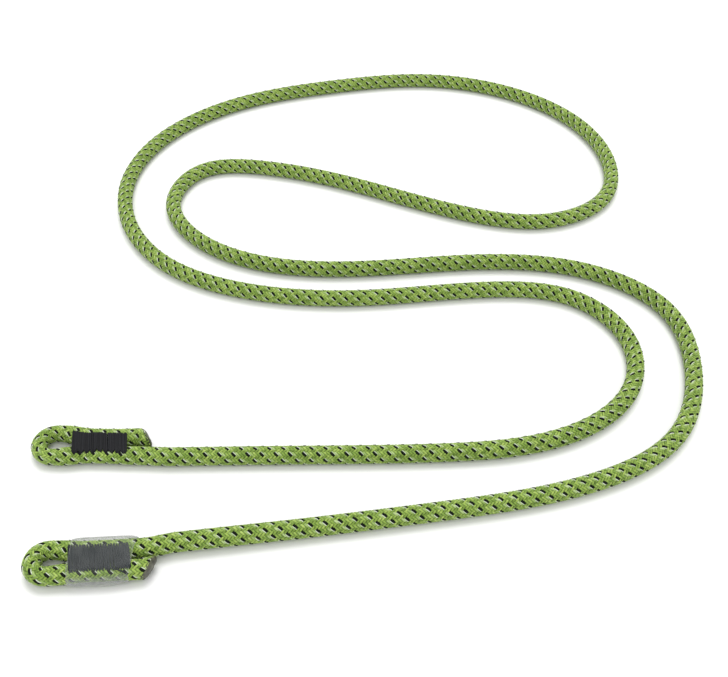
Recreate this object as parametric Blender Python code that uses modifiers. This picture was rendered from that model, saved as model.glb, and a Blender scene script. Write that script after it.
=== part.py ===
"""Eye-to-eye accessory cord: a kernmantle cord with a small sewn eye at each end.

Metres, +Z up. The cord lies loose on a floor at Z = 0, in a double S with both eyes on the left.
The origin is the centre of its bounding box, on the floor.
"""

from math import cos, pi, radians, sin, sqrt

import bmesh
import bpy
import numpy as np

# ---- Driving dimensions ----
CORD_RADIUS = 0.004
SHEATH_WALL = 0.0013
GAP = 0.0003  # clearance between neighbouring pieces
CORE_RADIUS = CORD_RADIUS - SHEATH_WALL - GAP

# An eye is measured along X from its neck, the point where the stiff sewn block ends.
CROWN_CENTRE = 0.0500  # centre of the round end of the loop
TAIL_START = 0.0155  # where the tail's sheath is cut
STITCH_START, STITCH_END = 0.0198, 0.0432
SLEEVE_START, SLEEVE_END = 0.0183, 0.0439
NECK_ROUNDING = 0.7  # the leg's rounded end reaches this share of its radius past the neck
NECK_CLEARANCE = CORD_RADIUS + GAP  # the free cord stops this far from a neck

THREAD_RADIUS = 0.00035
THREAD_GAP = 0.0001
STITCH_REACH = 0.0014  # a stitch ends this far outside the crest of each leg
PRESSED_HEIGHT = 0.80  # height of the legs' section under the stitches, against the round cord
PRESS_START, PRESS_END = 0.0165, 0.0470  # the legs are round again outside these
PRESS_SETTLED = 0.0260  # from here the legs run parallel

SLEEVE_WALL = 0.0004
SLEEVE_CLEARANCE = 0.0002
FREE_CORD_POINTS = 80
BEND_WEIGHT = 0.050  # a bend of one radian takes as many points as this much more length
EYE_POINT_PITCH = 0.0024

PRESSED_TOP = PRESSED_HEIGHT * CORD_RADIUS
STITCH_TOP = PRESSED_TOP + THREAD_GAP + 2 * THREAD_RADIUS
SLEEVE_INNER_HEIGHT = STITCH_TOP + SLEEVE_CLEARANCE
SLEEVE_OUTER_HEIGHT = SLEEVE_INNER_HEIGHT + SLEEVE_WALL


class Eye:
    """The sizes that differ between the two eyes."""

    def __init__(
        self, name, neck, heading, tail_side, tail_tip, halves, throat, pressed_width,
        crown_section, stitches,
    ):
        self.name = name
        self.neck = neck  # where the loop hinges on the free cord
        self.heading = radians(heading)  # from the neck to the crown, about Z
        self.tail_side = tail_side  # +1 or -1: the tail lies on this side of the standing leg
        self.tail_tip = tail_tip
        self.neck_half, self.tail_half, self.stitch_half, self.crown_half = halves
        self.throat = throat  # the legs part from here on, towards the crown
        self.pressed_width = pressed_width  # under the stitches, against the round cord
        self.crown_section = crown_section  # width and height against the round cord
        self.stitches = stitches


EYE_A = Eye(
    "eye_a",
    neck=(-0.0883, -0.1260, CORD_RADIUS),
    heading=178.9,
    tail_side=-1,
    tail_tip=0.0110,
    halves=(0.0053, 0.0050, 0.0046, 0.0065),
    throat=0.034,
    pressed_width=1.08,
    crown_section=(0.86, 0.90),
    stitches=20,
)
EYE_B = Eye(
    "eye_b",
    neck=(-0.0781, -0.1689, SLEEVE_OUTER_HEIGHT),
    heading=183.4,
    tail_side=1,
    tail_tip=0.0100,
    halves=(0.0069, 0.0048, 0.0042, 0.0061),
    throat=0.036,
    pressed_width=1.0,
    crown_section=(0.85, 0.92),
    stitches=16,
)

# The free cord's route over the floor, from the neck of eye A to the neck of eye B.
ROUTE = [
    (-0.0883, -0.1260),
    (-0.042, -0.1252),
    (0.026, -0.1238),
    (0.078, -0.115),
    (0.1103, -0.0903),
    (0.117, -0.056),
    (0.097, -0.027),
    (0.056, -0.0195),
    (-0.006, -0.0256),
    (-0.064, -0.021),
    (-0.108, 0.000),
    (-0.1336, 0.0366),
    (-0.1384, 0.083),
    (-0.119, 0.126),
    (-0.081, 0.157),
    (-0.025, 0.176),
    (0.035, 0.183),
    (0.082, 0.169),
    (0.118, 0.137),
    (0.133, 0.093),
    (0.124, 0.056),
    (0.093, 0.0367),
    (0.048, 0.0425),
    (-0.008, 0.0672),
    (-0.062, 0.0854),
    (-0.099, 0.0826),
    (-0.1116, 0.0572),
    (-0.097, 0.023),
    (-0.060, 0.001),
    (-0.002, -0.003),
    (0.059, 0.002),
    (0.109, -0.007),
    (0.1386, -0.0328),
    (0.1433, -0.073),
    (0.1255, -0.1160),
    (0.089, -0.1389),
    (0.027, -0.1535),
    (-0.036, -0.163),
    (-0.0781, -0.1689),
]
RISE_LENGTH = 0.060  # the cord lifts off the floor over this length, up to eye B's sleeve


# ---- Curves through points ----
def ease(value, low, high):
    """0 below low, 1 above high, with a smooth turn between them."""
    share = np.clip((value - low) / (high - low), 0.0, 1.0)
    return share * share * (3 - 2 * share)


def spline_through(points, samples_per_span=24):
    """A natural cubic spline through the points, as closely spaced samples."""
    knots = np.array(points, float)
    span = np.linalg.norm(np.diff(knots, axis=0), axis=1)
    count = len(knots)
    system = np.eye(count)
    slopes = np.zeros_like(knots)
    for i in range(1, count - 1):
        system[i, i - 1 : i + 2] = span[i - 1], 2 * (span[i - 1] + span[i]), span[i]
        slopes[i] = 6 * (
            (knots[i + 1] - knots[i]) / span[i] - (knots[i] - knots[i - 1]) / span[i - 1]
        )
    bend = np.linalg.solve(system, slopes)
    samples = []
    for i in range(count - 1):
        for share in np.arange(samples_per_span) / samples_per_span:
            rest = 1 - share
            curved = (share**3 - share) * bend[i + 1] + (rest**3 - rest) * bend[i]
            samples.append(rest * knots[i] + share * knots[i + 1] + span[i] ** 2 / 6 * curved)
    samples.append(knots[-1])
    return np.array(samples)


def arc_lengths(points):
    steps = np.linalg.norm(np.diff(points, axis=0), axis=1)
    return np.concatenate([[0.0], np.cumsum(steps)])


def spaced_points(points, count, trim=0.0):
    """count points along a line of points, closer in the bends, leaving out trim at both ends."""
    arc = arc_lengths(points)
    directions = np.diff(points, axis=0) / np.diff(arc)[:, None]
    turns = np.linalg.norm(np.diff(directions, axis=0), axis=1)
    effort = arc + BEND_WEIGHT * np.concatenate([[0.0], np.cumsum(turns), [turns.sum()]])
    ends = np.interp([trim, arc[-1] - trim], arc, effort)
    wanted = np.interp(np.linspace(*ends, count), effort, arc)
    return np.stack([np.interp(wanted, arc, points[:, k]) for k in range(points.shape[1])], axis=1)


def free_cord_route():
    """The free cord's centreline: flat on the floor, rising to the height of eye B at its end."""
    flat = spline_through(ROUTE)
    arc = arc_lengths(flat)
    rise = ease(arc, arc[-1] - RISE_LENGTH, arc[-1])
    height = CORD_RADIUS + rise * (EYE_B.neck[2] - CORD_RADIUS)
    return np.column_stack([flat, height])


# ---- An eye's own shape, in its own frame: origin at the neck, X to the crown ----
def half_spacing(eye, x):
    """Half the distance between the two legs' centrelines."""
    half = eye.neck_half
    half += (eye.tail_half - eye.neck_half) * ease(x, 0.0, TAIL_START)
    half += (eye.stitch_half - eye.tail_half) * ease(x, TAIL_START, PRESS_SETTLED)
    half += (eye.crown_half - eye.stitch_half) * ease(x, eye.throat, CROWN_CENTRE)
    return half


def eye_centreline(eye, tail_end):
    """Out along the standing leg, round the crown and back along the tail."""
    side = eye.tail_side
    leg_count = int(CROWN_CENTRE / EYE_POINT_PITCH)
    out = [
        (x, side * (eye.neck_half - half_spacing(eye, x)), 0.0)
        for x in np.linspace(0.0, CROWN_CENTRE, leg_count, endpoint=False)
    ]
    crown_count = int(pi * eye.crown_half / EYE_POINT_PITCH)
    crown = [
        (
            CROWN_CENTRE + eye.crown_half * sin(angle),
            side * (eye.neck_half - eye.crown_half * cos(angle)),
            0.0,
        )
        for angle in np.linspace(0.0, pi, crown_count, endpoint=False)
    ]
    back = [
        (x, side * (eye.neck_half + half_spacing(eye, x)), 0.0)
        for x in np.linspace(CROWN_CENTRE, tail_end, leg_count)
    ]
    return np.array(out + crown + back)


def section_factors(eye, x):
    """Width and height of the legs' section at x, against the round cord."""
    pressed = ease(x, PRESS_START, STITCH_START) * (1 - ease(x, SLEEVE_END, PRESS_END))
    crown = ease(x, SLEEVE_END, CROWN_CENTRE)
    width = 1 + pressed * (eye.pressed_width - 1) + crown * (eye.crown_section[0] - 1)
    height = 1 + pressed * (PRESSED_HEIGHT - 1) + crown * (eye.crown_section[1] - 1)
    return width, height


def press_legs(mesh, eye, centreline):
    """Flatten the round tube where it is sewn, keeping its centreline."""
    tangents = np.gradient(centreline, axis=0)
    tangents /= np.linalg.norm(tangents, axis=1)[:, None]
    for vertex in mesh.vertices:
        place = np.array(vertex.co)
        nearest = int(np.argmin(np.linalg.norm(centreline - place, axis=1)))
        centre, tangent = centreline[nearest], tangents[nearest]
        sideways = np.cross((0.0, 0.0, 1.0), tangent)
        width, height = section_factors(eye, centre[0])
        offset = place - centre
        across = float(offset @ sideways)
        place += sideways * across * (width - 1)
        place[2] = offset[2] * height
        vertex.co = place


# ---- Object makers ----
def make_material(name, colour, roughness, alpha=1.0):
    material = bpy.data.materials.new(name)
    material.use_nodes = True
    principled = material.node_tree.nodes["Principled BSDF"]
    principled.inputs["Base Color"].default_value = (*colour, 1.0)
    principled.inputs["Roughness"].default_value = roughness
    principled.inputs["Metallic"].default_value = 0.0
    principled.inputs["Alpha"].default_value = alpha
    return material


def make_tube(name, points, radius, closed_ends, radius_shares=None, sides_resolution=2):
    """A round tube or rod along points, as a curve object."""
    curve = bpy.data.curves.new(name, "CURVE")
    curve.dimensions = "3D"
    curve.twist_mode = "Z_UP"
    curve.bevel_depth = radius
    curve.bevel_resolution = sides_resolution
    curve.use_fill_caps = closed_ends
    spline = curve.splines.new("POLY")
    spline.points.add(len(points) - 1)
    for i, point in enumerate(points):
        spline.points[i].co = (*point, 1.0)
        if radius_shares is not None:
            spline.points[i].radius = radius_shares[i]
    tube = bpy.data.objects.new(name, curve)
    collection.objects.link(tube)
    return tube


def add_wall(tube, thickness):
    """Turn an open surface into a shell whose outer side stays where it is."""
    wall = tube.modifiers.new("Wall", "SOLIDIFY")
    wall.thickness = thickness
    wall.offset = -1.0


def as_mesh(tube):
    """The same object as a welded mesh, with its modifiers applied."""
    bpy.context.view_layer.update()
    evaluated = tube.evaluated_get(bpy.context.evaluated_depsgraph_get())
    mesh = bpy.data.meshes.new_from_object(evaluated)
    name, place = tube.name, tube.matrix_world.copy()
    bpy.data.objects.remove(tube)
    mesh.name = name
    form = bmesh.new()
    form.from_mesh(mesh)
    bmesh.ops.remove_doubles(form, verts=form.verts, dist=1e-6)
    form.to_mesh(mesh)
    form.free()
    solid = bpy.data.objects.new(name, mesh)
    solid.matrix_world = place
    collection.objects.link(solid)
    return solid


def finish_piece(piece, material, parent=None):
    piece.data.materials.clear()
    piece.data.materials.append(material)
    piece.parent = parent
    if piece.type == "MESH":
        piece.data.shade_smooth()
        piece.data.set_sharp_from_angle(angle=radians(40))


# ---- The free cord ----
def build_free_cord():
    """The woven sheath as a hollow tube, with the core of parallel strands inside it."""
    line = spaced_points(free_cord_route(), FREE_CORD_POINTS, trim=NECK_CLEARANCE)
    sheath = make_tube("cord_sheath", line, CORD_RADIUS, closed_ends=False)
    add_wall(sheath, SHEATH_WALL)
    finish_piece(sheath, sheath_green)
    core = make_tube("cord_core", line, CORE_RADIUS, closed_ends=True)
    finish_piece(core, core_white)


# ---- A sewn eye ----
def build_eye_sheath(eye, frame):
    """The sheath from its rounded neck end, round the loop, to the cut tail."""
    line = eye_centreline(eye, TAIL_START)
    reaches = [NECK_ROUNDING, 0.5, 0.25]
    neck_points = [(-reach * CORD_RADIUS, 0.0, 0.0) for reach in reaches]
    shares = [sqrt(1 - reach**2) for reach in reaches] + [1.0] * len(line)
    points = np.vstack([neck_points, line])
    tube = make_tube(f"{eye.name}_sheath", points, CORD_RADIUS, False, shares)
    add_wall(tube, SHEATH_WALL)
    sheath = as_mesh(tube)
    press_legs(sheath.data, eye, points)
    finish_piece(sheath, sheath_green, frame)


def build_eye_core(eye, frame):
    line = eye_centreline(eye, TAIL_START)
    core = as_mesh(make_tube(f"{eye.name}_core", line, CORE_RADIUS, closed_ends=True))
    press_legs(core.data, eye, line)
    finish_piece(core, core_white, frame)


def build_sealed_tip(eye, frame):
    """The melted end of the tail: an oblique dome that leans to the standing leg."""
    side = eye.tail_side
    tail_y = eye.neck_half + half_spacing(eye, TAIL_START)
    start = TAIL_START - GAP
    lean = 0.0018
    stations = [(0.0, 0.0, 0.97), (0.35, 0.0, 0.93), (0.75, 0.5, 0.78), (1.0, 1.0, 0.55)]
    points = [
        (start + share * (eye.tail_tip - start), side * (tail_y - lean * drift), 0.0)
        for share, drift, _ in stations
    ]
    shares = [share for _, _, share in stations]
    tip = as_mesh(make_tube(f"{eye.name}_sealed_tip", points, CORD_RADIUS, True, shares))
    finish_piece(tip, sealed_brown, frame)


def stitch_line(eye, face):
    """One thread to and fro across both legs. face is +1 over them and -1 under them."""
    side = eye.tail_side
    height = face * (PRESSED_TOP + THREAD_GAP + THREAD_RADIUS)
    points = []
    for i, x in enumerate(np.linspace(STITCH_START, STITCH_END, eye.stitches)):
        crest = half_spacing(eye, x)
        across = [-crest - STITCH_REACH, -crest, crest, crest + STITCH_REACH]
        if i % 2:
            across.reverse()
        points += [(x, side * (eye.neck_half + y), height) for y in across]
    return points


def build_threads(eye, frame, material):
    """The lockstitch's two threads: the needle thread on top, the bobbin thread underneath."""
    for name, face in (("needle_thread", 1), ("bobbin_thread", -1)):
        line = stitch_line(eye, face)
        thread = make_tube(f"{eye.name}_{name}", line, THREAD_RADIUS, closed_ends=True)
        thread.data.twist_mode = "MINIMUM"
        finish_piece(thread, material, frame)


def build_sleeve(eye, frame):
    """A clear shrink sleeve round both legs: a flat-sided tube with round edges."""
    widest = half_spacing(eye, SLEEVE_END)
    outer = widest + eye.pressed_width * CORD_RADIUS + SLEEVE_CLEARANCE + SLEEVE_WALL
    round_centre = outer - SLEEVE_OUTER_HEIGHT
    arc_steps = 8
    form = bmesh.new()
    rings = []
    for x in (SLEEVE_START, SLEEVE_END):
        ring = []
        for edge in (1, -1):
            for angle in np.linspace(-pi / 2, pi / 2, arc_steps + 1):
                y = edge * (round_centre + SLEEVE_OUTER_HEIGHT * cos(angle))
                z = edge * SLEEVE_OUTER_HEIGHT * sin(angle)
                ring.append(form.verts.new((x, y + eye.tail_side * eye.neck_half, z)))
        rings.append(ring)
    first, second = rings
    for i, corner in enumerate(first):
        after = (i + 1) % len(first)
        form.faces.new((corner, first[after], second[after], second[i]))
    mesh = bpy.data.meshes.new(f"{eye.name}_sleeve")
    form.to_mesh(mesh)
    form.free()
    sleeve = bpy.data.objects.new(mesh.name, mesh)
    collection.objects.link(sleeve)
    add_wall(sleeve, SLEEVE_WALL)
    finish_piece(sleeve, clear_film, frame)


def build_eye(eye, thread_material):
    frame = bpy.data.objects.new(f"{eye.name}_neck", None)
    collection.objects.link(frame)
    frame.location = eye.neck
    frame.rotation_euler = (0.0, 0.0, eye.heading)
    build_eye_sheath(eye, frame)
    build_eye_core(eye, frame)
    build_sealed_tip(eye, frame)
    build_threads(eye, frame, thread_material)
    return frame


for leftover in list(bpy.data.objects):
    bpy.data.objects.remove(leftover)

collection = bpy.data.collections.new("eye_to_eye_cord")
bpy.context.scene.collection.children.link(collection)

sheath_green = make_material("sheath_green", (0.27, 0.45, 0.09), 0.75)
core_white = make_material("core_white", (0.82, 0.82, 0.78), 0.8)
thread_black = make_material("thread_black", (0.012, 0.012, 0.02), 0.6)
thread_grey = make_material("thread_grey", (0.06, 0.07, 0.09), 0.6)
sealed_brown = make_material("sealed_brown", (0.13, 0.13, 0.06), 0.5)
clear_film = make_material("clear_film", (0.85, 0.9, 0.85), 0.25, alpha=0.35)

build_free_cord()
build_eye(EYE_A, thread_black)
eye_b_frame = build_eye(EYE_B, thread_grey)
build_sleeve(EYE_B, eye_b_frame)
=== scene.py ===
"""Looks of an eye-to-eye accessory cord: a green braided cord with a small sewn eye at each end.

Metres, in the part's own frame. The cord lies on the floor at Z = 0.
"""

from math import cos, pi, radians, sin

import bpy
import numpy as np
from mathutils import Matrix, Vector


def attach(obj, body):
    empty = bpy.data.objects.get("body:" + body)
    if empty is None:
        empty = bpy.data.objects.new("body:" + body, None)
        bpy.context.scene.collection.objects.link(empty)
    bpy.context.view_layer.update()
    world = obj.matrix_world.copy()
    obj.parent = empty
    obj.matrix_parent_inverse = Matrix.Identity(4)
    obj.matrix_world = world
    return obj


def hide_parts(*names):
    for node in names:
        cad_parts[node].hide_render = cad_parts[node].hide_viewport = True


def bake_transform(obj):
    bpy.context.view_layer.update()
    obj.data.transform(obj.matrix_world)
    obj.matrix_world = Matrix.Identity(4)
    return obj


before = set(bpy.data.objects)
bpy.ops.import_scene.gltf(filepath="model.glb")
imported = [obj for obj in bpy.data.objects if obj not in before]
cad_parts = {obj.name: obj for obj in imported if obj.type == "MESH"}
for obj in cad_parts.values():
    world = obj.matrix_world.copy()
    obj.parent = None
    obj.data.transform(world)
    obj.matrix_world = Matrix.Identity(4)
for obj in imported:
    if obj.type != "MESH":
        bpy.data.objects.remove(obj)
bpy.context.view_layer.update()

MILLIMETRE = 0.001  # the UV maps run in millimetres along every yarn and thread

# ---- Sizes. Places along an eye are distances from its neck ----
CORD_RADIUS = 0.004
RISE_LENGTH = 0.060  # the last of the free cord, which climbs to the height of eye B
NECK_BEND = 0.009  # how far into an eye a bend at the neck would reach; no bend is made
TAIL_START = 0.0155  # nearer the neck than this, the tail runs on straight
TAIL_LEAN = 0.0011  # how far the tail's tip leans to the leg
STITCH_START, STITCH_END = 0.0192, 0.0419
PRESS_START, PRESS_END = 0.0165, 0.0470  # the legs are pressed flatter between these
PRESS_SETTLED = 0.0260  # from here to the throat, the legs keep their spacing
CROWN_START = 0.0439
PRESSED_HEIGHT = 0.80  # share of the cord's height that is left under the stitches
TACK_LEAN = 0.0023  # how much nearer the crown the throws are at their far ends
SLEEVE_HALF_HEIGHT = 0.0046
SLEEVE_WALL = 0.0002
SLEEVE_SLACK = 0.0011  # how far the film stands off the legs at its sides
SLEEVE_CLING = 0.0005  # how much lower the film is at its ends, where it clings to the cord
SLEEVE_CUT_START = (0.0179, 0.0012)  # middle and slant of the film's end by the neck
SLEEVE_CUT_END = 0.0422
CUT_CURVE = 1.8  # power of the curve that a tail's cut follows across the cord
CUT_CREST = 0.0008  # how far the cut's top and bottom edges fall back from its middle


class Eye:
    """A sewn eye. Its own frame has the origin at the neck and X towards the crown."""

    def __init__(
        self,
        name,
        neck,
        heading,
        side,
        tip,
        cut,
        overhang,
        crown,
        halves,
        throat,
        pressed_width,
        crown_section,
    ):
        self.name = name
        self.body = name
        self.neck = np.array(neck)
        self.heading = radians(heading)
        self.side = side  # +1 or -1: the side of the standing leg that the tail lies on
        self.tip = tip  # where the tail ends
        self.cut = cut  # how far the oblique cut of the tail runs back from its tip
        self.overhang = overhang  # how much further the cut's upper edge reaches than its middle
        self.crown = crown  # where the crown's half circle has its centre
        # Half the spacing of the two legs' centrelines, at four places
        self.neck_half, self.tail_half, self.stitch_half, self.crown_half = halves
        self.throat = throat  # where the legs begin to part for the crown
        self.pressed_width = pressed_width  # of the pressed legs, as a share of the cord's
        self.crown_section = crown_section  # width and height of the crown, as shares

    def to_world(self, local):
        local = np.asarray(local, float)
        c, s = cos(self.heading), sin(self.heading)
        turn = np.array([[c, -s, 0], [s, c, 0], [0, 0, 1]])
        return local @ turn.T + self.neck


EYE_A = Eye(
    "eye_a",
    neck=(-0.0883, -0.1260, CORD_RADIUS),
    heading=178.9,
    side=-1,
    tip=0.0094,
    cut=0.0066,
    overhang=0.0,
    crown=0.0503,
    halves=(0.0053, 0.0050, 0.0046, 0.0065),
    throat=0.034,
    pressed_width=1.08,
    crown_section=(0.86, 0.90),
)
EYE_B = Eye(
    "eye_b",
    neck=(-0.0781, -0.1689, SLEEVE_HALF_HEIGHT),
    heading=183.4,
    side=1,
    tip=0.0094,
    cut=0.0050,
    overhang=0.0009,
    crown=0.0508,
    halves=(0.0069, 0.0048, 0.0046, 0.0058),
    throat=0.036,
    pressed_width=1.1,
    crown_section=(0.94, 0.95),
)

ROUTE = [
    (-0.0883, -0.1260),
    (-0.042, -0.1252),
    (0.026, -0.1238),
    (0.078, -0.115),
    (0.1103, -0.0903),
    (0.117, -0.056),
    (0.097, -0.027),
    (0.056, -0.0195),
    (-0.006, -0.0256),
    (-0.064, -0.021),
    (-0.108, 0.000),
    (-0.1336, 0.0366),
    (-0.1384, 0.083),
    (-0.119, 0.126),
    (-0.081, 0.157),
    (-0.025, 0.176),
    (0.035, 0.183),
    (0.082, 0.169),
    (0.118, 0.137),
    (0.133, 0.093),
    (0.124, 0.056),
    (0.093, 0.0367),
    (0.048, 0.0425),
    (-0.008, 0.0672),
    (-0.062, 0.0854),
    (-0.099, 0.0826),
    (-0.1116, 0.0572),
    (-0.097, 0.023),
    (-0.060, 0.001),
    (-0.002, -0.003),
    (0.059, 0.002),
    (0.109, -0.007),
    (0.1386, -0.0328),
    (0.1433, -0.073),
    (0.1255, -0.1160),
    (0.089, -0.1389),
    (0.027, -0.1535),
    (-0.036, -0.163),
    (-0.0781, -0.1689),
]

# ---- The braid ----
LEAD = 0.0236  # one yarn's way along the cord for a full turn round it
CARRIERS = 16  # yarn bundles that turn each way
TRACER_EVERY = 4  # one carrier in so many is a black tracer, and the next one is paler green
WAVES = CARRIERS // 2  # times that a yarn rises and dips in one lead, over two and under two
ROW_STEP = LEAD / WAVES / 6  # along the cord, from one row of a yarn's mesh to the next
YARN_COLUMNS = 4
YARN_HALF_WIDTH = 0.00053
YARN_MIDDLE_RADIUS = 0.00336
YARN_WAVE = 0.00027  # how far a yarn rises over the others and dips under them
YARN_CROWN = 0.00038  # how far a yarn's middle stands over its edges
YARN_ROUNDNESS = 2.2  # power of the curve across a yarn
FLOAT_FLATNESS = 1.5  # over 1, a yarn stays up on its floats and dives steeply between them
BRAID_RADIUS = 0.0037
BRAID_SLOPE = 2 * pi * BRAID_RADIUS / LEAD
LINING_RADIUS = 0.0030
STRAND_RADIUS = 0.00074
STRAND_REACH = 0.0015  # from the cord's middle to the middle of an outer core strand
STRAND_LEAD = 0.040
CORE_BACK = 0.0068  # how far from a tail's tip the core and the lining end

# As the cord lies, it rolls to and fro in two waves. Each: angle, wave's length and phase
ROLLS = ((0.55, 0.83, 0.4), (0.35, 0.41, 2.0))

PATH_PITCH = 0.00025  # between the points that the whole cord's path is stored as
SMOOTHING = 13  # how many of those points a direction is averaged over


# ---- Curves ----
def ease(value, low, high):
    """0 up to low, 1 from high on, and a smooth climb between them."""
    share = np.clip((value - low) / (high - low), 0.0, 1.0)
    return share * share * (3 - 2 * share)


def arc_lengths(points):
    """How far along the line each point is."""
    steps = np.linalg.norm(np.diff(points, axis=0), axis=1)
    return np.concatenate([[0.0], np.cumsum(steps)])


def spline_through(points, samples_per_span=24):
    """A natural cubic spline through the points, as closely spaced samples."""
    knots = np.array(points, float)
    span = np.linalg.norm(np.diff(knots, axis=0), axis=1)
    count = len(knots)
    system = np.eye(count)
    slopes = np.zeros_like(knots)
    for i in range(1, count - 1):
        system[i, i - 1 : i + 2] = span[i - 1], 2 * (span[i - 1] + span[i]), span[i]
        slopes[i] = 6 * (
            (knots[i + 1] - knots[i]) / span[i] - (knots[i] - knots[i - 1]) / span[i - 1]
        )
    bend = np.linalg.solve(system, slopes)
    samples = []
    for i in range(count - 1):
        for share in np.arange(samples_per_span) / samples_per_span:
            rest = 1 - share
            curved = (share**3 - share) * bend[i + 1] + (rest**3 - rest) * bend[i]
            samples.append(rest * knots[i] + share * knots[i + 1] + span[i] ** 2 / 6 * curved)
    samples.append(knots[-1])
    return np.array(samples)


def free_cord_route():
    """The free cord's centreline, from eye A's neck to eye B's."""
    flat = spline_through(ROUTE)
    arc = arc_lengths(flat)
    rise = ease(arc, arc[-1] - RISE_LENGTH, arc[-1])
    return np.column_stack([flat, CORD_RADIUS + rise * (EYE_B.neck[2] - CORD_RADIUS)])


def half_spacing(eye, x):
    """Half the spacing of the two legs' centrelines, at distance x from the neck."""
    half = eye.neck_half
    half += (eye.tail_half - eye.neck_half) * ease(x, 0.0, TAIL_START)
    half += (eye.stitch_half - eye.tail_half) * ease(x, TAIL_START, PRESS_SETTLED)
    half += (eye.crown_half - eye.stitch_half) * ease(x, eye.throat, eye.crown)
    return half


def tail_spacing(eye, x):
    """As half_spacing, but the tail's loose end runs on straight and leans to the leg."""
    lean = TAIL_LEAN * ease(-x, -TAIL_START, -eye.tip)
    return half_spacing(eye, np.maximum(x, TAIL_START)) - lean


def eye_centreline(eye, step=0.0004):
    """From the neck out along the standing leg, round the crown and back to the tail's tip."""
    out = np.arange(0.0, eye.crown, step)
    angle = np.arange(0.0, pi, step / eye.crown_half)
    back = np.arange(eye.crown, eye.tip, -step)
    x = np.concatenate([out, eye.crown + eye.crown_half * np.sin(angle), back, [eye.tip]])
    y = np.concatenate(
        [
            eye.neck_half - half_spacing(eye, out),
            eye.neck_half - eye.crown_half * np.cos(angle),
            eye.neck_half + tail_spacing(eye, np.append(back, eye.tip)),
        ]
    )
    return np.column_stack([x, eye.side * y, np.zeros_like(x)])


def section_factors(eye, x):
    """Width and height of the section in an eye, as shares of the free cord's."""
    pressed = ease(x, PRESS_START, STITCH_START) * (1 - ease(x, CROWN_START, PRESS_END))
    crown = ease(x, CROWN_START, eye.crown)
    width = 1 + pressed * (eye.pressed_width - 1) + crown * (eye.crown_section[0] - 1)
    height = 1 + pressed * (PRESSED_HEIGHT - 1) + crown * (eye.crown_section[1] - 1)
    return width, height


class CordPath:
    """The whole cord from tail tip A to tail tip B, measured along its centreline."""

    def __init__(self):
        tail_a, tail_b = eye_centreline(EYE_A)[::-1], eye_centreline(EYE_B)
        middle = free_cord_route()[1:-1]
        points = np.vstack([EYE_A.to_world(tail_a), middle, EYE_B.to_world(tail_b)])
        width_a, height_a = section_factors(EYE_A, tail_a[:, 0])
        width_b, height_b = section_factors(EYE_B, tail_b[:, 0])
        ones = np.ones(len(middle))
        rough = arc_lengths(points)
        self.neck_a = rough[len(tail_a) - 1]
        self.neck_b = rough[len(tail_a) + len(middle)]
        self.length = rough[-1]
        self.arc = np.linspace(0.0, self.length, int(self.length / PATH_PITCH))
        self.centre = np.column_stack([np.interp(self.arc, rough, c) for c in points.T])
        tangent = np.gradient(self.centre, axis=0)
        kernel = np.hanning(SMOOTHING) / np.hanning(SMOOTHING).sum()
        beyond = SMOOTHING // 2
        padded = np.pad(tangent, ((beyond, beyond), (0, 0)), mode="edge")
        tangent = np.column_stack([np.convolve(c, kernel, "valid") for c in padded.T])
        self.tangent = tangent / np.linalg.norm(tangent, axis=1)[:, None]
        side = np.cross((0.0, 0.0, 1.0), self.tangent)
        self.side = side / np.linalg.norm(side, axis=1)[:, None]
        self.up = np.cross(self.tangent, self.side)
        widths = np.concatenate([width_a, ones, width_b])
        heights = np.concatenate([height_a, ones, height_b])
        self.width = np.interp(self.arc, rough, widths)
        self.height = np.interp(self.arc, rough, heights)

    def read(self, values, s):
        """The values stored along the path, at distance s."""
        return np.stack([np.interp(s, self.arc, c) for c in values.T], axis=-1)

    def place(self, s, lateral, vertical):
        """Points at distance s along the cord, that far to the side and up in its section."""
        lateral = lateral * np.interp(s, self.arc, self.width)
        vertical = vertical * np.interp(s, self.arc, self.height)
        sideways = self.read(self.side, s) * lateral[..., None]
        upwards = self.read(self.up, s) * vertical[..., None]
        past_end = s - np.clip(s, 0.0, self.length)
        forwards = self.read(self.tangent, s) * past_end[..., None]
        return self.read(self.centre, s) + sideways + upwards + forwards

    def twist(self, s):
        """How far the cord is rolled, at distance s along it."""
        return sum(most * np.sin(2 * pi * s / length + phase) for most, length, phase in ROLLS)


path = CordPath()


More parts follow.
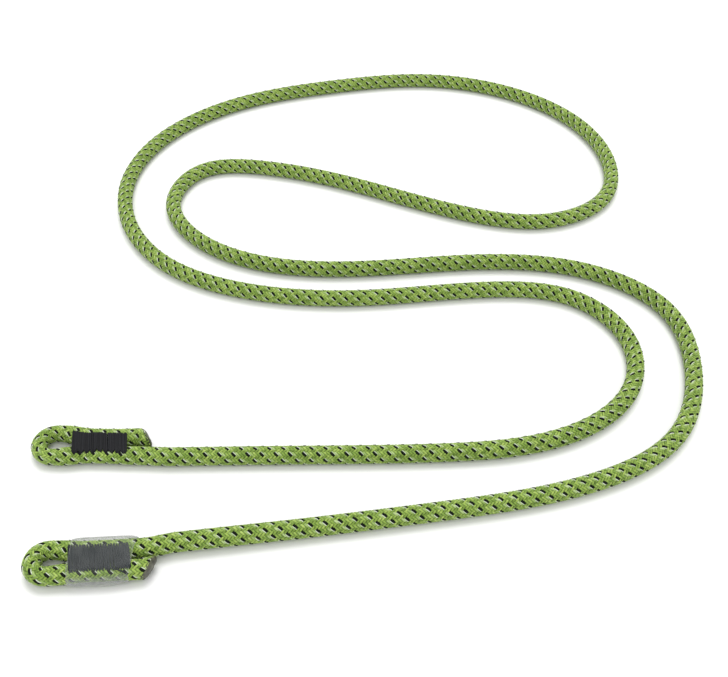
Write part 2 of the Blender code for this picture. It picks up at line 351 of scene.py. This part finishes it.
# ---- Meshes ----
class MeshParts:
    """Collects grids of points and makes one mesh of them, with a UV map along and across."""

    def __init__(self):
        self.points, self.quads, self.uvs, self.count = [], [], [], 0

    def add_grid(self, points, u, v, closed=False, hidden=None):
        """points[i, k] with u[i, k] and v[i, k]. closed joins the last k to the first.

        A face is left out where all four of its corners are hidden.
        """
        rows, columns = points.shape[:2]
        index = np.arange(rows * columns).reshape(rows, columns) + self.count
        if closed:
            index = np.column_stack([index, index[:, 0]])
            u = np.column_stack([u, u[:, 0]])
            v = np.column_stack([v, 2 * v[:, -1] - v[:, -2]])
        uv = np.stack([u, v], axis=-1)
        quads, quad_uvs = (
            np.stack([a[:-1, :-1], a[1:, :-1], a[1:, 1:], a[:-1, 1:]], axis=2)
            for a in (index, uv)
        )
        shown = np.ones(quads.shape[:2], bool)
        if hidden is not None:
            corners = [hidden[:-1, :-1], hidden[1:, :-1], hidden[1:, 1:], hidden[:-1, 1:]]
            shown = ~np.all(corners, axis=0)
        self.quads.append(quads[shown])
        self.uvs.append(quad_uvs[shown].reshape(-1, 2))
        self.points.append(points.reshape(-1, 3))
        self.count += rows * columns

    def make(self, name, material):
        quads = np.vstack(self.quads)
        used, quads = np.unique(quads, return_inverse=True)
        quads = quads.reshape(-1, 4)
        points = np.vstack(self.points)[used]
        mesh = bpy.data.meshes.new(name)
        mesh.vertices.add(len(points))
        mesh.vertices.foreach_set("co", points.astype(np.float32).ravel())
        mesh.loops.add(quads.size)
        mesh.loops.foreach_set("vertex_index", quads.astype(np.int32).ravel())
        mesh.polygons.add(len(quads))
        mesh.polygons.foreach_set("loop_start", np.arange(0, quads.size, 4, dtype=np.int32))
        mesh.update(calc_edges=True)
        uv_map = mesh.uv_layers.new(name="yarn")
        uv_map.data.foreach_set("uv", np.vstack(self.uvs).astype(np.float32).ravel())
        mesh.shade_smooth()
        mesh.materials.append(material)
        piece = bpy.data.objects.new(name, mesh)
        bpy.context.scene.collection.objects.link(piece)
        return piece


# ---- Materials ----
class Nodes:
    """A short way to write a node tree around one Principled shader."""

    def __init__(self, name, roughness, specular=0.5):
        self.material = bpy.data.materials.new(name)
        self.material.use_nodes = True
        self.tree = self.material.node_tree
        self.shader = self.tree.nodes["Principled BSDF"]
        self.shader.inputs["Roughness"].default_value = roughness
        self.shader.inputs["Specular IOR Level"].default_value = specular

    def add(self, kind, inputs=None, **settings):
        node = self.tree.nodes.new("ShaderNode" + kind)
        for key, value in settings.items():
            setattr(node, key, value)
        for key, value in (inputs or {}).items():
            socket = node.inputs[key]
            if isinstance(value, bpy.types.NodeSocket):
                self.tree.links.new(value, socket)
            else:
                socket.default_value = value
        return node

    def math(self, operation, a, b=0.0):
        return self.add("Math", {0: a, 1: b}, operation=operation).outputs[0]

    def ramp(self, factor, *stops):
        """A colour ramp. Each stop is a place from 0 to 1 and a colour or a grey value."""
        node = self.add("ValToRGB", {"Fac": factor})
        elements = node.color_ramp.elements
        while len(elements) < len(stops):
            elements.new(0.5)
        for element, (place, colour) in zip(elements, stops, strict=True):
            element.position = place
            grey = isinstance(colour, float)
            element.color = (colour, colour, colour, 1) if grey else (*colour, 1)
        return node.outputs["Color"]

    def multiply(self, a, b):
        node = self.add("Mix", data_type="RGBA", blend_type="MULTIPLY")
        node.inputs["Factor"].default_value = 1.0
        self.tree.links.new(a, node.inputs["A"])
        self.tree.links.new(b, node.inputs["B"])
        return node.outputs["Result"]

    def finish(self, colour, height=None, distance=0.0001, strength=0.5):
        self.tree.links.new(colour, self.shader.inputs["Base Color"])
        if height is not None:
            bump = self.add("Bump", {"Height": height, "Strength": strength, "Distance": distance})
            self.tree.links.new(bump.outputs["Normal"], self.shader.inputs["Normal"])
        return self.material


def yarn_material(name, dark, middle, light, edge, roughness, sheen, specular=0.35):
    """Yarn bundles: each a little lighter or darker, with fine filaments along it and painted
    shade at its edges.
    """
    nodes = Nodes(name, roughness, specular)
    nodes.shader.inputs["Sheen Weight"].default_value = sheen
    nodes.shader.inputs["Sheen Roughness"].default_value = 0.5
    uv = nodes.add("UVMap", uv_map="yarn").outputs["UV"]
    split = nodes.add("SeparateXYZ", {"Vector": uv})
    along, across = split.outputs["X"], split.outputs["Y"]
    bundle = nodes.math("FLOOR", across)
    within = nodes.math("SUBTRACT", across, bundle)

    # Each bundle has a shade of its own, which also changes along it
    own = nodes.add("TexWhiteNoise", {"W": bundle}, noise_dimensions="1D").outputs["Value"]
    patch_place = nodes.add(
        "CombineXYZ", {"X": nodes.math("MULTIPLY", along, 0.6), "Y": bundle}
    ).outputs["Vector"]
    patch = nodes.add("TexNoise", {"Vector": patch_place, "Scale": 1.0}).outputs["Fac"]
    shade = nodes.math("ADD", nodes.math("MULTIPLY", own, 0.3), nodes.math("MULTIPLY", patch, 0.7))
    colour = nodes.ramp(shade, (0.32, dark), (0.5, middle), (0.68, light))

    # The filaments are long thin streaks, in colour and as bumps
    filament_place = nodes.add(
        "CombineXYZ",
        {
            "X": nodes.math("MULTIPLY", along, 0.9),
            "Y": nodes.math("MULTIPLY", across, 14.0),
            "Z": bundle,
        },
    ).outputs["Vector"]
    filament = nodes.add(
        "TexNoise", {"Vector": filament_place, "Scale": 1.0, "Detail": 2.0}
    ).outputs["Fac"]
    colour = nodes.multiply(colour, nodes.ramp(filament, (0.25, 0.78), (0.7, 1.0)))

    # A bundle is painted darker at its edges, as painted shade in the crevice where it meets the
    # next one
    off_middle = nodes.math("ABSOLUTE", nodes.math("SUBTRACT", within, 0.5))
    colour = nodes.multiply(colour, nodes.ramp(off_middle, (0.24, 1.0), (0.5, edge)))
    return nodes.finish(colour, filament, distance=0.00008, strength=0.6)


def plain_material(name, dark, light, roughness, scale, distance, specular=0.4):
    """One colour with soft clouds in it, and the same clouds as bumps."""
    nodes = Nodes(name, roughness, specular)
    place = nodes.add("TexCoord").outputs["Object"]
    cloud = nodes.add("TexNoise", {"Vector": place, "Scale": scale, "Detail": 4.0}).outputs["Fac"]
    return nodes.finish(nodes.ramp(cloud, (0.3, dark), (0.7, light)), cloud, distance, 0.6)


green = yarn_material(
    "green_yarn", (0.175, 0.305, 0.037), (0.35, 0.51, 0.09), (0.54, 0.69, 0.19), 0.35, 0.62, 0.1
)
# The Z yarns are the same green painted darker, as painted shade that gives the braid more
# contrast
shaded_green = yarn_material(
    "shaded_green_yarn", (0.12, 0.215, 0.02), (0.245, 0.385, 0.054), (0.435, 0.59, 0.123),
    0.3, 0.62, 0.1,
)
pale_green = yarn_material(
    "pale_green_yarn", (0.31, 0.46, 0.11), (0.425, 0.57, 0.20), (0.58, 0.72, 0.34), 0.35, 0.6, 0.1
)
black = yarn_material(
    "black_yarn", (0.003, 0.005, 0.002), (0.005, 0.008, 0.004), (0.009, 0.013, 0.007),
    0.5, 0.7, 0.0, specular=0.12,
)
white = yarn_material(
    "white_yarn", (0.58, 0.68, 0.46), (0.70, 0.80, 0.58), (0.80, 0.87, 0.70), 0.55, 0.6, 0.1
)
core = yarn_material(
    "core_yarn", (0.66, 0.66, 0.62), (0.75, 0.75, 0.71), (0.84, 0.84, 0.8), 0.6, 0.75, 0.2
)
# Painted shade: a dark green for the depth between the yarns, where the core beneath lies in shade
shade_lining = plain_material(
    "painted_gap_shade", (0.03, 0.05, 0.01), (0.06, 0.10, 0.02), 0.85, 900.0, 0.0001
)


# ---- The braided sheath ----
def tail_cut(eye, inwards, upwards):
    """How far from the tip a tail is cut, at shares of the radius towards the leg and up."""
    outwards = (1 - inwards) / 2
    oblique = eye.cut * outwards**CUT_CURVE
    return oblique + CUT_CREST * upwards**2 - eye.overhang * upwards


def yarn_grid(parts, carrier, turn, first, last, low, high, proud=0.0, lift=0.0):
    """One yarn from row first to row last. turn is 1 or -1, the way it winds round the cord.

    low and high bound the strip of the yarn that is made, from -1 to 1 across it. proud
    raises it. A lift over 0 makes its floats longer than its dives, and one under 0 shorter.
    """
    half = 0.0 if turn < 0 else 0.5
    s_middle = (np.arange(first, last + 1) + half) * ROW_STEP
    slope = np.arctan(BRAID_SLOPE)
    across = np.linspace(low, high, YARN_COLUMNS)
    reach = across * YARN_HALF_WIDTH
    s = s_middle[:, None] - turn * reach[None, :] * sin(slope)
    angle = 2 * pi * (carrier + half) / CARRIERS + turn * 2 * pi * s_middle / LEAD
    angle = angle[:, None] + reach[None, :] * cos(slope) / BRAID_RADIUS + path.twist(s)
    wave = 2 * pi * WAVES * s_middle / LEAD + turn * pi * carrier - pi * half
    local = (across - low) / (high - low) * 2 - 1
    crown = YARN_CROWN * (1 - np.abs(local) ** YARN_ROUNDNESS)
    rise = YARN_WAVE * np.clip(FLOAT_FLATNESS * np.cos(wave) + lift, -1, 1)
    radius = YARN_MIDDLE_RADIUS + proud + rise[:, None] + crown[None, :]
    cut_a, cut_b = (tail_cut(eye, np.sin(angle), np.cos(angle)) for eye in (EYE_A, EYE_B))
    hidden = (s < cut_a) | (s > path.length - cut_b)
    s = np.clip(s, cut_a, path.length - cut_b)
    points = path.place(s, radius * np.sin(angle), radius * np.cos(angle))
    u = np.repeat(s_middle[:, None] / MILLIMETRE / cos(slope), YARN_COLUMNS, axis=1)
    # Each yarn has its own whole number in v, and 0 to just under 1 across it
    number = carrier * 4 + (1 if turn > 0 else 0) + (2 if low > -1 else 0)
    v = np.repeat((number + (local + 1) * 0.4999)[None, :], len(s_middle), axis=0)
    parts.add_grid(points, u, v, hidden=hidden)


def build_yarns(prefix, first, last):
    """All the yarns between two rows, as pieces of one colour and one direction of turn."""
    tracers = range(0, CARRIERS, TRACER_EVERY)
    beside_tracers = range(1, CARRIERS, TRACER_EVERY)
    others = [c for c in range(CARRIERS) if c not in tracers and c not in beside_tracers]
    # Each group: material, its carriers, its way round, then the strip's sides, proud and lift
    groups = {
        "z_yarns": (shaded_green, range(CARRIERS), 1, -1, 1),
        "s_yarns": (green, others, -1, -1, 1),
        "pale_yarns": (pale_green, beside_tracers, -1, -1, 1),
        "black_tracers": (black, tracers, -1, -1.6, 0.6, 0.00012, 0.1),
        "white_tracers": (white, tracers, -1, 0.52, 1.28, 0.00009, -0.15),
    }
    pieces = []
    for name, (material, carriers, turn, *strip) in groups.items():
        # The long cord's larger groups are halved, to keep each piece's triangles few
        halved = len(carriers) > len(tracers) and prefix == "cord"
        shares = [carriers[::2], carriers[1::2]] if halved else [carriers]
        for number, share in enumerate(shares, 1):
            parts = MeshParts()
            for carrier in share:
                yarn_grid(parts, carrier, turn, first, last, *strip)
            ending = f"_{number}" if halved else ""
            piece = parts.make(f"{prefix}_{name}{ending}", material)
            pieces.append(piece)
    return pieces


def tube_parts(parts, start, end, radius, sides, step, centre=None, number=0):
    """A tube along the cord. centre(s) gives its middle in the section, as side and up."""
    s = np.linspace(start, end, max(2, int((end - start) / step) + 1))
    angle = np.arange(sides) * 2 * pi / sides
    lateral = radius * np.sin(angle)[None, :] + np.zeros_like(s)[:, None]
    vertical = radius * np.cos(angle)[None, :] + np.zeros_like(s)[:, None]
    if centre is not None:
        sideways, upwards = centre(s)
        lateral = lateral + sideways[:, None]
        vertical = vertical + upwards[:, None]
    grid = np.repeat(s[:, None], sides, axis=1)
    points = path.place(grid, lateral, vertical)
    v = number + np.repeat(np.arange(sides)[None, :] / sides, len(s), axis=0)
    parts.add_grid(points, grid / MILLIMETRE, v, closed=True)


def build_lining(name, start, end):
    """A tube just under the yarns, so that no light shows between them, dark with painted shade
    for the depth in the gaps.
    """
    parts = MeshParts()
    tube_parts(parts, start, end, LINING_RADIUS, sides=12, step=0.0016)
    return parts.make(name, shade_lining)


def build_core(name, start, end):
    """Seven twisted strands, one in the middle and six round it."""
    parts = MeshParts()
    outer_strands = 6
    for strand in range(outer_strands + 1):
        reach = STRAND_REACH if strand < outer_strands else 0.0

        def centre(s, strand=strand, reach=reach):
            angle = 2 * pi * (strand / outer_strands + s / STRAND_LEAD)
            return reach * np.sin(angle), reach * np.cos(angle)

        tube_parts(parts, start, end, STRAND_RADIUS, 6, 0.0025, centre, strand)
    return parts.make(name, core)


# ---- The eyes ----
def tail_place(eye, from_tip, lateral, vertical):
    """Points on a tail, at distances from its tip."""
    s = from_tip if eye is EYE_A else path.length - from_tip
    return path.place(s, lateral, vertical)


def build_melted_end(eye, material):
    """The tail's oblique cut, melted to a lumpy skin that grips the ends of the yarns."""
    sides = 36
    lump_height = 0.00025
    swelling = 0.02
    angle = np.linspace(0, 2 * pi, sides, endpoint=False)
    lump = 0.5 * np.sin(3 * angle + 1) + 0.3 * np.sin(5 * angle + 2) + 0.2 * np.sin(11 * angle)
    # Each ring: share of the radius, distance back from the cut, how much of it is lumps
    rings = [
        (0.03, -0.00085, 0.1),
        (0.30, -0.00080, 0.5),
        (0.55, -0.00065, 1.0),
        (0.78, -0.00045, 1.0),
        (0.92, -0.00015, 0.8),
        (0.985, 0.00030, 0.8),
        (1.0, 0.00045, 0.8),
        (0.98, 0.00060, 1.2),
        (0.88, 0.00090, 1.2),
    ]
    grid = []
    for share, back, lumps in rings:
        inwards, upwards = share * np.sin(angle), share * np.cos(angle)
        from_tip = tail_cut(eye, inwards, upwards) + back + lump_height * lumps * lump
        radius = CORD_RADIUS * (1 + swelling * lumps * np.sin(4 * angle + 6 * share))
        grid.append(tail_place(eye, from_tip, radius * inwards, radius * upwards))
    grid = np.array(grid)
    if eye is EYE_B:
        grid = grid[:, ::-1]
    u = np.repeat(np.arange(len(rings), dtype=float)[:, None], sides, axis=1)
    v = np.repeat(angle[None, :] / (2 * pi), len(rings), axis=0)
    parts = MeshParts()
    parts.add_grid(grid, u, v, closed=True)
    return parts.make(f"{eye.name}_melted_end", material)


def add_rod(parts, points, radius, number, sides=6):
    """A round thread through points, with tapered ends."""
    points = np.asarray(points, float)
    tangent = np.gradient(points, axis=0)
    tangent /= np.linalg.norm(tangent, axis=1)[:, None]
    first = np.cross(tangent, (0.0, 0.0, 1.0))
    upright = np.linalg.norm(first, axis=1) < 1e-6
    first[upright] = (1.0, 0.0, 0.0)
    first /= np.linalg.norm(first, axis=1)[:, None]
    second = np.cross(first, tangent)
    arc = arc_lengths(points)
    thin = np.minimum(1.0, 0.25 + np.minimum(arc, arc[-1] - arc) / radius)
    angle = np.arange(sides) * 2 * pi / sides
    across = first[:, None] * np.cos(angle)[None, :, None]
    along = second[:, None] * np.sin(angle)[None, :, None]
    grid = points[:, None] + (across + along) * (radius * thin)[:, None, None]
    u = np.repeat(arc[:, None] / MILLIMETRE, sides, axis=1)
    v = number + np.repeat(angle[None, :] / (2 * pi), len(points), axis=0)
    parts.add_grid(grid, u, v, closed=True)


def leg_height(eye, y, x):
    """Height of the pressed legs' upper surface over the cord's centre, at y from the groove."""
    from_crest = np.maximum(0.0, np.abs(y) - half_spacing(eye, x))
    share = np.clip(from_crest / (eye.pressed_width * CORD_RADIUS), 0.0, 0.98)
    return PRESSED_HEIGHT * CORD_RADIUS * np.sqrt(1 - share**2)


def build_tack(
    eye,
    name,
    face,
    seed,
    material,
    throws,
    per_hole,
    radius,
    reaches,
    gathers,
    gather_length,
    jitter,
    strays,
    loose_end,
):
    """A bar tack's throws of thread over both legs. face is 1 on top and -1 underneath.

    reaches are how far a throw runs past the standing leg's crest and past the tail's, and
    gathers how closely the throws come together at their holes there. They spread again over
    gather_length from the standing leg's holes. jitter is how much single throws differ, and
    strays how much the groups at one hole do. A loose end is left over on top of the tail.
    """
    tail_gather_length = 0.0016
    sink_length, sink_depth = 0.0009, 2.6  # a throw dives so many radii into each hole
    shift, slant, unevenness = 0.00005, 0.00008, 0.00003  # of single throws, as spreads
    random = np.random.default_rng(seed)
    parts = MeshParts()
    even = np.linspace(STITCH_START, STITCH_END, throws)
    pitch = even[1] - even[0]
    group_strays = random.normal(0, strays, (throws // per_hole + 1, 2))
    for i, x_even in enumerate(even):
        hole_stray, reach_stray = group_strays[i // per_hole]
        hole = STITCH_START + pitch * ((i // per_hole + 0.5) * per_hole - 0.5) + hole_stray
        half = half_spacing(eye, x_even)
        low = -half - reaches[0] + random.normal(0, jitter) + reach_stray
        high = half + reaches[1] + random.normal(0, jitter) + reach_stray
        y = np.linspace(low, high, 15)
        gather = gathers[0] * (1 - ease(y, low, low + gather_length))
        gather += gathers[1] * ease(y, high - tail_gather_length, high)
        share = (y - low) / (high - low)
        towards_front = share if eye.side > 0 else 1 - share
        stray = random.normal(0, shift) + share * random.normal(0, slant)
        x = x_even + (hole - x_even) * gather + stray + TACK_LEAN * (0.5 - towards_front)
        sink = 1 - ease(y, low, low + sink_length) + ease(y, high - sink_length, high)
        # Every other throw lies a little higher than the ones beside it
        lift = radius * (0.9 + 0.35 * (i % 2)) + random.normal(0, unevenness)
        z = leg_height(eye, y, x_even) + lift - sink * sink_depth * radius
        if face < 0:  # none may sink into the floor
            z = np.minimum(z, eye.neck[2] - radius)
        local = np.column_stack([x, eye.side * (eye.neck_half + y), face * z])
        add_rod(parts, eye.to_world(local), radius, i)
    if loose_end and face > 0:
        # It comes from among the throws and runs back to the neck, and outwards on the tail
        share = np.linspace(0, 1, 14)
        x = STITCH_START + 0.0070 - 0.0062 * share
        y = 0.0060 + 0.0019 * share**1.5
        z = leg_height(eye, y, x) + 2 * radius
        local = np.column_stack([x, eye.side * (eye.neck_half + y), z])
        add_rod(parts, eye.to_world(local), radius, throws)
    return parts.make(f"{eye.name}_{name}_tack", material)


def build_sleeve(eye):
    """The clear sleeve: a thin film shrunk round both legs, standing a little off them."""
    columns, rows = 72, 30
    side_roundness, top_roundness = 0.7, 0.62  # powers under 1 make its section squarer
    clear_of_box = 0.00014  # keeps the ripples inside the sleeve's own height
    ripple_height = 0.00002
    raggedness = 0.0001
    angle = np.arange(columns) * 2 * pi / columns
    across, up = np.cos(angle), np.sin(angle)
    random = np.random.default_rng(11)
    # Each ripple: how often it waves round the film, about how often along it, and its phase
    waves = random.uniform((1, 0.5, 0), (6, 3.0, 2 * pi), (9, 3))
    rings, shares = [], []
    for wall, order in ((0.0, 1), (SLEEVE_WALL, -1)):
        for along in np.linspace(0, 1, rows)[::order]:
            ripple = sum(np.sin(np.round(a) * angle + b * 6 * along + c) for a, b, c in waves)
            inset = wall + clear_of_box - ripple_height * ripple
            # The neck end is tight on the tail, both ends cling to the cord and are cut askew
            cling = abs(2 * along - 1) ** 6
            by_tail = 0.15 + 0.85 * ease(along, 0.0, 0.35)
            slack = SLEEVE_SLACK * (1 - cling) * np.where(across > 0, by_tail, 1.0)
            start = SLEEVE_CUT_START[0] + SLEEVE_CUT_START[1] * across
            ragged = raggedness * np.sin(5 * angle + 2) * (2 * along - 1)
            x = start + (SLEEVE_CUT_END - start) * along + ragged
            half_width = half_spacing(eye, x) + eye.pressed_width * CORD_RADIUS + slack
            y = (half_width - inset) * np.sign(across) * np.abs(across) ** side_roundness
            half_height = SLEEVE_HALF_HEIGHT - SLEEVE_CLING * cling
            z = (half_height - inset) * np.sign(up) * np.abs(up) ** top_roundness
            rings.append(np.column_stack([x, eye.side * (y + eye.neck_half), z]))
            shares.append(along)
    if eye.side > 0:
        rings = [ring[::-1] for ring in rings]
    grid = eye.to_world(np.array(rings + rings[:1]))
    u = np.repeat(np.array(shares + shares[:1])[:, None], columns, axis=1)
    v = np.repeat(angle[None, :] / (2 * pi), len(grid), axis=0)
    parts = MeshParts()
    parts.add_grid(grid, u, v, closed=True)
    sleeve = parts.make(f"{eye.name}_clear_sleeve", clear_film)
    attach(sleeve, eye.body)
    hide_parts(f"{eye.name}_sleeve")
    return sleeve


def thread_material(name, dark, light, roughness):
    """Twisted sewing thread of two plies, each of which turns once round it in a millimetre."""
    plies = 2
    nodes = Nodes(name, roughness, specular=0.22)
    uv = nodes.add("UVMap", uv_map="yarn").outputs["UV"]
    split = nodes.add("SeparateXYZ", {"Vector": uv})
    along, around = split.outputs["X"], split.outputs["Y"]
    turns = nodes.math("ADD", along, around)
    ply = nodes.math("SINE", nodes.math("MULTIPLY", turns, 2 * pi * plies))
    own = nodes.add("TexWhiteNoise", {"W": nodes.math("FLOOR", around)}, noise_dimensions="1D")
    height = nodes.math("MULTIPLY_ADD", ply, 0.5)
    height.node.inputs[2].default_value = 0.5
    # The colour follows the ply's height, painted lighter on the crests and darker in the grooves
    # as painted highlight and shade, mixed with each throw's own tone
    shade = nodes.math("MULTIPLY", nodes.math("ADD", height, own.outputs["Value"]), 0.5)
    return nodes.finish(nodes.ramp(shade, (0.2, dark), (0.9, light)), height, 0.00004, 0.5)


def film_material(name):
    """Clear film: faint scuffs, milkier on its sides, seen edge on and along its cut ends. The
    milkiness on its sides and where it is seen edge on is partly the film's own haze and partly
    painted reflection of the bright surroundings.
    """
    nodes = Nodes(name, 0.25, specular=0.5)
    coordinates = nodes.add("TexCoord").outputs
    up = nodes.add("SeparateXYZ", {"Vector": coordinates["Normal"]}).outputs["Z"]
    side = nodes.ramp(nodes.math("ABSOLUTE", up), (0.3, 0.2), (0.85, 0.0))
    place = coordinates["Object"]
    scuff = nodes.add("TexNoise", {"Vector": place, "Scale": 170.0, "Detail": 3.0}).outputs["Fac"]
    facing = nodes.add("LayerWeight", {"Blend": 0.5}).outputs["Facing"]
    uv = nodes.add("UVMap", uv_map="yarn").outputs["UV"]
    along = nodes.add("SeparateXYZ", {"Vector": uv}).outputs["X"]
    off_middle = nodes.math("ABSOLUTE", nodes.math("SUBTRACT", along, 0.5))
    cut_edge = nodes.ramp(off_middle, (0.48, 0.0), (0.5, 0.14))
    # Where the film is seen edge on, and on its sides, it turns a more opaque light grey: partly
    # its own haze, partly painted reflection of the bright surroundings
    haze_and_reflection = nodes.ramp(facing, (0.0, 0.035), (0.4, 0.07), (0.7, 0.33), (1.0, 0.9))
    haze_and_reflection = nodes.math("MULTIPLY", haze_and_reflection, nodes.math("ADD", scuff, 0.5))
    haze_and_reflection = nodes.math("ADD", haze_and_reflection, nodes.math("ADD", side, cut_edge))
    nodes.tree.links.new(haze_and_reflection, nodes.shader.inputs["Alpha"])
    colour = nodes.ramp(scuff, (0.3, (0.36, 0.38, 0.36)), (0.7, (0.46, 0.48, 0.46)))
    return nodes.finish(colour, scuff, 0.0002, 0.25)


dark_melt = plain_material(
    "dark_melted_cord", (0.02, 0.028, 0.008), (0.06, 0.075, 0.022), 0.42, 700.0, 0.0003
)
grey_melt = plain_material(
    "grey_melted_cord", (0.03, 0.03, 0.018), (0.12, 0.12, 0.08), 0.42, 500.0, 0.0003
)
black_thread = thread_material("black_thread", (0.003, 0.003, 0.004), (0.016, 0.017, 0.020), 0.6)
grey_thread = thread_material("grey_thread", (0.010, 0.014, 0.018), (0.020, 0.026, 0.031), 0.55)
clear_film = film_material("hazy_film")


def blend_at_neck(piece, eye):
    """Fixes the piece's placement into its mesh; the cord is not bent past the neck."""
    end = eye.to_world((NECK_BEND, 0.0, 0.0))
    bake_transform(piece)


def row_at(s):
    """The number of the yarns' mesh row that is nearest to distance s."""
    return int(round(s / ROW_STEP))


row_a, row_b = row_at(path.neck_a), row_at(path.neck_b)

# The free cord
cord_lining = build_lining("cord_lining", path.neck_a, path.neck_b)
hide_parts("cord_sheath")
cord_core = build_core("cord_core_strands", path.neck_a, path.neck_b)
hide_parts("cord_core")
cord_yarns = build_yarns("cord", row_a, row_b)
for piece in [cord_lining, cord_core, *cord_yarns]:
    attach(piece, "free_cord")

# The eyes
for eye, start, end, rows in (
    (EYE_A, 0.0, path.neck_a, (0, row_a)),
    (EYE_B, path.neck_b, path.length, (row_b, row_at(path.length))),
):
    inner = (start + CORE_BACK, end) if eye is EYE_A else (start, end - CORE_BACK)
    eye_lining = build_lining(f"{eye.name}_lining", *inner)
    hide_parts(f"{eye.name}_sheath")
    eye_core = build_core(f"{eye.name}_core_strands", *inner)
    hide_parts(f"{eye.name}_core")
    for piece in [eye_lining, eye_core, *build_yarns(eye.name, *rows)]:
        blend_at_neck(piece, eye)
    melted_end = build_melted_end(eye, dark_melt if eye is EYE_A else grey_melt)
    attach(melted_end, eye.body)
    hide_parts(f"{eye.name}_sealed_tip")

close_tack = {
    "throws": 54,
    "per_hole": 6,
    "radius": 0.00035,
    "reaches": (0.0017, 0.0002),
    "gathers": (0.65, 0.1),
    "gather_length": 0.0016,
    "jitter": 0.00015,
    "strays": 0.00009,
    "loose_end": False,
}
loose_tack = {
    "throws": 46,
    "per_hole": 2,
    "radius": 0.00032,
    "reaches": (0.0012, 0.0019),
    "gathers": (0.95, 0.2),
    "gather_length": 0.0032,
    "jitter": 0.00022,
    "strays": 0.00005,
    "loose_end": True,
}
for eye, material, slot_name, stitching in (
    (EYE_A, black_thread, "thread_black", close_tack),
    (EYE_B, grey_thread, "thread_grey", loose_tack),
):
    for name, face, seed in (("needle_thread", 1, 3), ("bobbin_thread", -1, 7)):
        tack = build_tack(eye, name, face, seed, material, **stitching)
        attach(tack, eye.body)
        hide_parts(f"{eye.name}_{name}")

build_sleeve(EYE_B)

# ---- Floor, light and camera ----
floor_mesh = bpy.data.meshes.new("floor")
corners = [(-8, -8, 0), (8, -8, 0), (8, 8, 0), (-8, 8, 0)]
floor_mesh.from_pydata(corners, [], [(0, 1, 2, 3)])
floor = bpy.data.objects.new("floor", floor_mesh)
bpy.context.scene.collection.objects.link(floor)
floor_look = Nodes("paper_floor", 0.9, specular=0.1)
floor_look.shader.inputs["Base Color"].default_value = (0.92, 0.92, 0.92, 1)
floor_mesh.materials.append(floor_look.material)

world = bpy.data.worlds.new("studio")
world.use_nodes = True
backdrop = world.node_tree.nodes["Background"]
backdrop.inputs["Color"].default_value = (1, 1, 1, 1)
# The camera sees white, and the cord is lit by a little less than that
seen = world.node_tree.nodes.new("ShaderNodeLightPath").outputs["Is Camera Ray"]
strength = world.node_tree.nodes.new("ShaderNodeMapRange")
strength.inputs["To Min"].default_value = 0.78
strength.inputs["To Max"].default_value = 1.0
world.node_tree.links.new(seen, strength.inputs["Value"])
world.node_tree.links.new(strength.outputs["Result"], backdrop.inputs["Strength"])
bpy.context.scene.world = world


def add_soft_light(name, place, spread, strength):
    """A large far light, so wide that its shadows are soft, that lights the whole floor alike."""
    light = bpy.data.lights.new(name, "SUN")
    light.angle = radians(spread)
    light.energy = strength
    lamp = bpy.data.objects.new(name, light)
    lamp.location = place
    lamp.rotation_euler = (-Vector(place)).to_track_quat("-Z", "Y").to_euler()
    bpy.context.scene.collection.objects.link(lamp)


add_soft_light("soft_light_behind", (0.06, 0.46, 1.2), 32.0, 1.46)
add_soft_light("soft_light_in_front", (0.0, -0.6, 1.05), 48.0, 0.55)

# The camera stands as the photo's did, tilted 44 degrees down
camera_data = bpy.data.cameras.new("camera")
camera_data.lens = 50.0
camera_data.sensor_width = 36.0
camera_data.clip_start = 0.01
camera = bpy.data.objects.new("camera", camera_data)
camera.location = (-0.0073, -0.3971, 0.3348)
camera.rotation_euler = (radians(46), 0.0, 0.0)
bpy.context.scene.collection.objects.link(camera)
bpy.context.scene.camera = camera
bpy.context.scene.view_settings.view_transform = "Standard"
